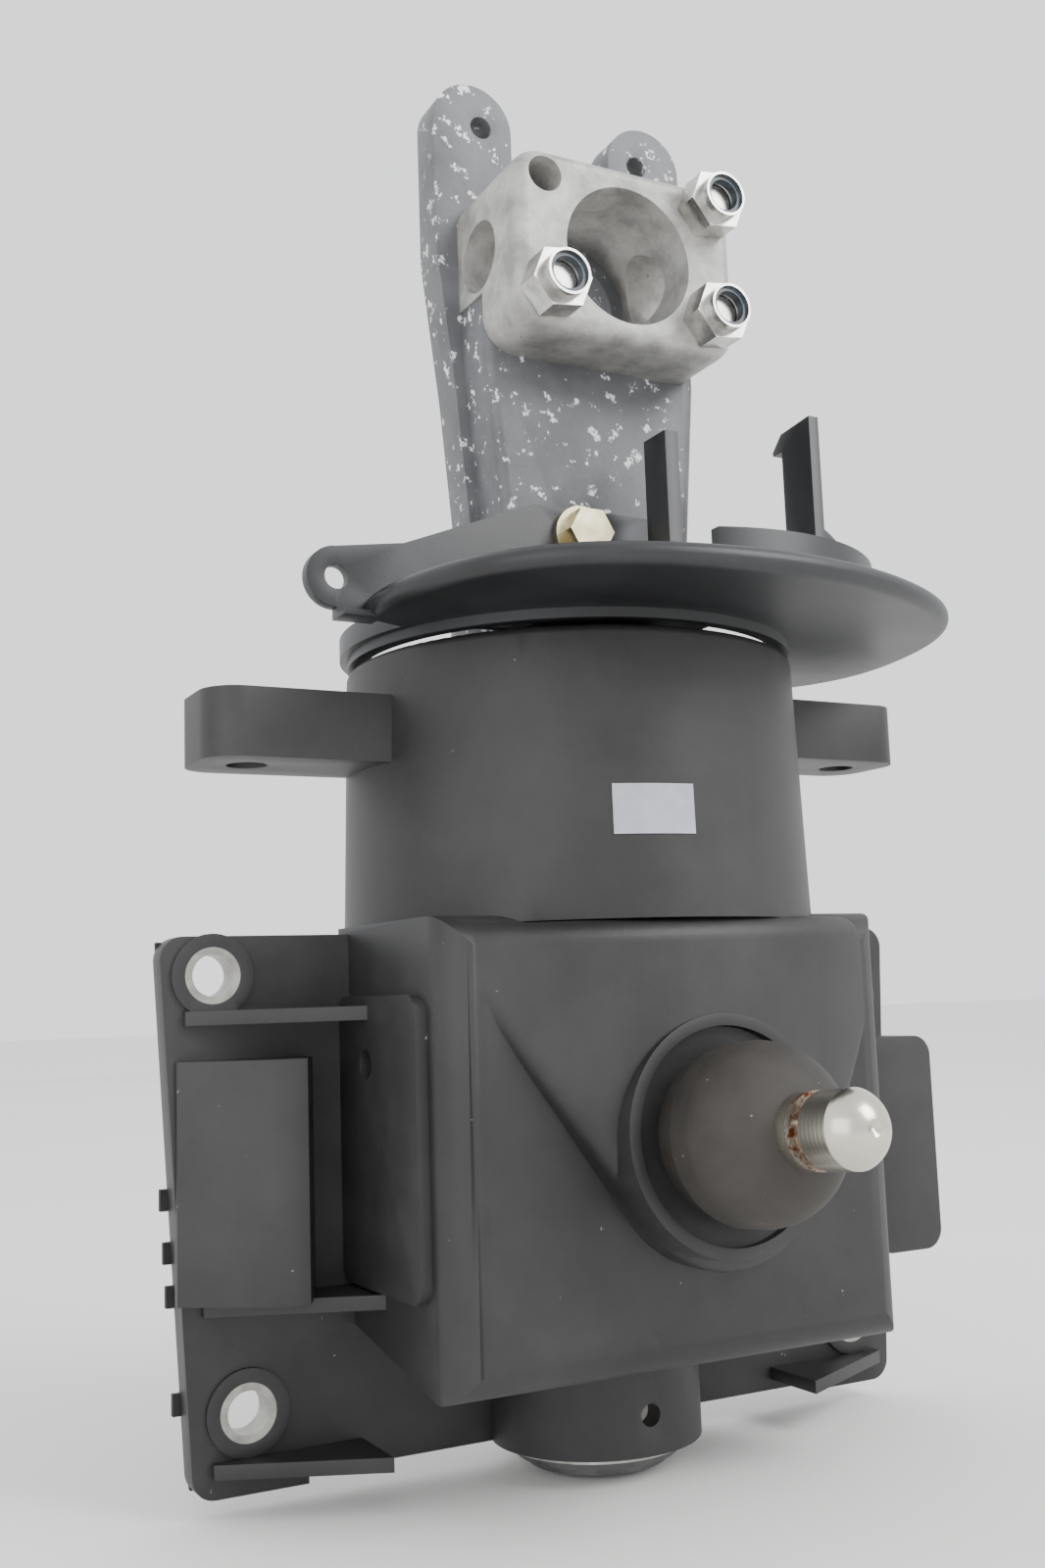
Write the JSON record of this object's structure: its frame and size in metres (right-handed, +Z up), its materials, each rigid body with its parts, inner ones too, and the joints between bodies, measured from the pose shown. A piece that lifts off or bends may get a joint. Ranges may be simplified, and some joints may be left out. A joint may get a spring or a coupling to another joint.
{
  "type": "steering column housing",
  "caption": "Steering column head with clamp block and cover plate, turning in a black bulkhead housing that carries a domed latch pin.",
  "frame": {"origin": "midway between the two upper flange bolt holes, on the flange's back face", "axes": "+Z up along the steering column, +Y out of the flange's back face into the bulkhead, +X to the rider's right hand when facing +Y"},
  "size_m": [0.1964, 0.157, 0.325],
  "materials": {
    "housing_nylon": "moulded glass-filled nylon, faded and dusty",
    "cover_nylon": "moulded nylon, satin",
    "bracket_paint": "grey powder coat over cast aluminium, scuffed",
    "cast_aluminium": "raw cast, mottled",
    "zinc_steel": "bright zinc plate",
    "yellow_zinc": "yellow zinc plate",
    "stainless": "turned and polished",
    "tube_steel": "drawn tube",
    "rubber_black": "moulded, dusty",
    "gasket_foam": "compressed cellular rubber",
    "nylon_blue": "nylon ring",
    "bush_acetal": "machined acetal",
    "label_paper": "blank coated paper"
  },
  "bodies": {
    "housing": {"steering_housing": "housing_nylon", "bearing_carrier": "housing_nylon", "flange_gasket": "gasket_foam", "flange_sleeves": "zinc_steel", "upper_bush": "bush_acetal", "lower_bush": "bush_acetal", "stop_bumpers": "rubber_black", "latch_bumper": "rubber_black", "latch_pin": "stainless", "latch_washer": "zinc_steel", "latch_nut": "zinc_steel", "stock_label": "label_paper"},
    "column": {"head_bracket": "bracket_paint", "clamp_block": "cast_aluminium", "clamp_bolts": "zinc_steel", "clamp_nuts": "zinc_steel", "nut_inserts": "nylon_blue", "cover_plate": "cover_nylon", "cover_bolt": "yellow_zinc", "steering_tube": "tube_steel", "hub_screws": "zinc_steel", "thrust_washer": "bush_acetal", "steering_arm": "cast_aluminium", "arm_key": "tube_steel", "arm_clamp_bolt": "zinc_steel", "arm_clamp_nut": "zinc_steel", "ball_stud": "zinc_steel", "ball_stud_nut": "zinc_steel", "dust_seal": "rubber_black", "lower_washer": "zinc_steel", "retaining_ring": "tube_steel"}
  },
  "joints": [
    {"name": "steer", "type": "hinge", "parent": "housing", "child": "column", "pos_m": [0, -0.013, 0], "axis": [0, 0, 1], "range_deg": [-30, 30]}
  ]
}
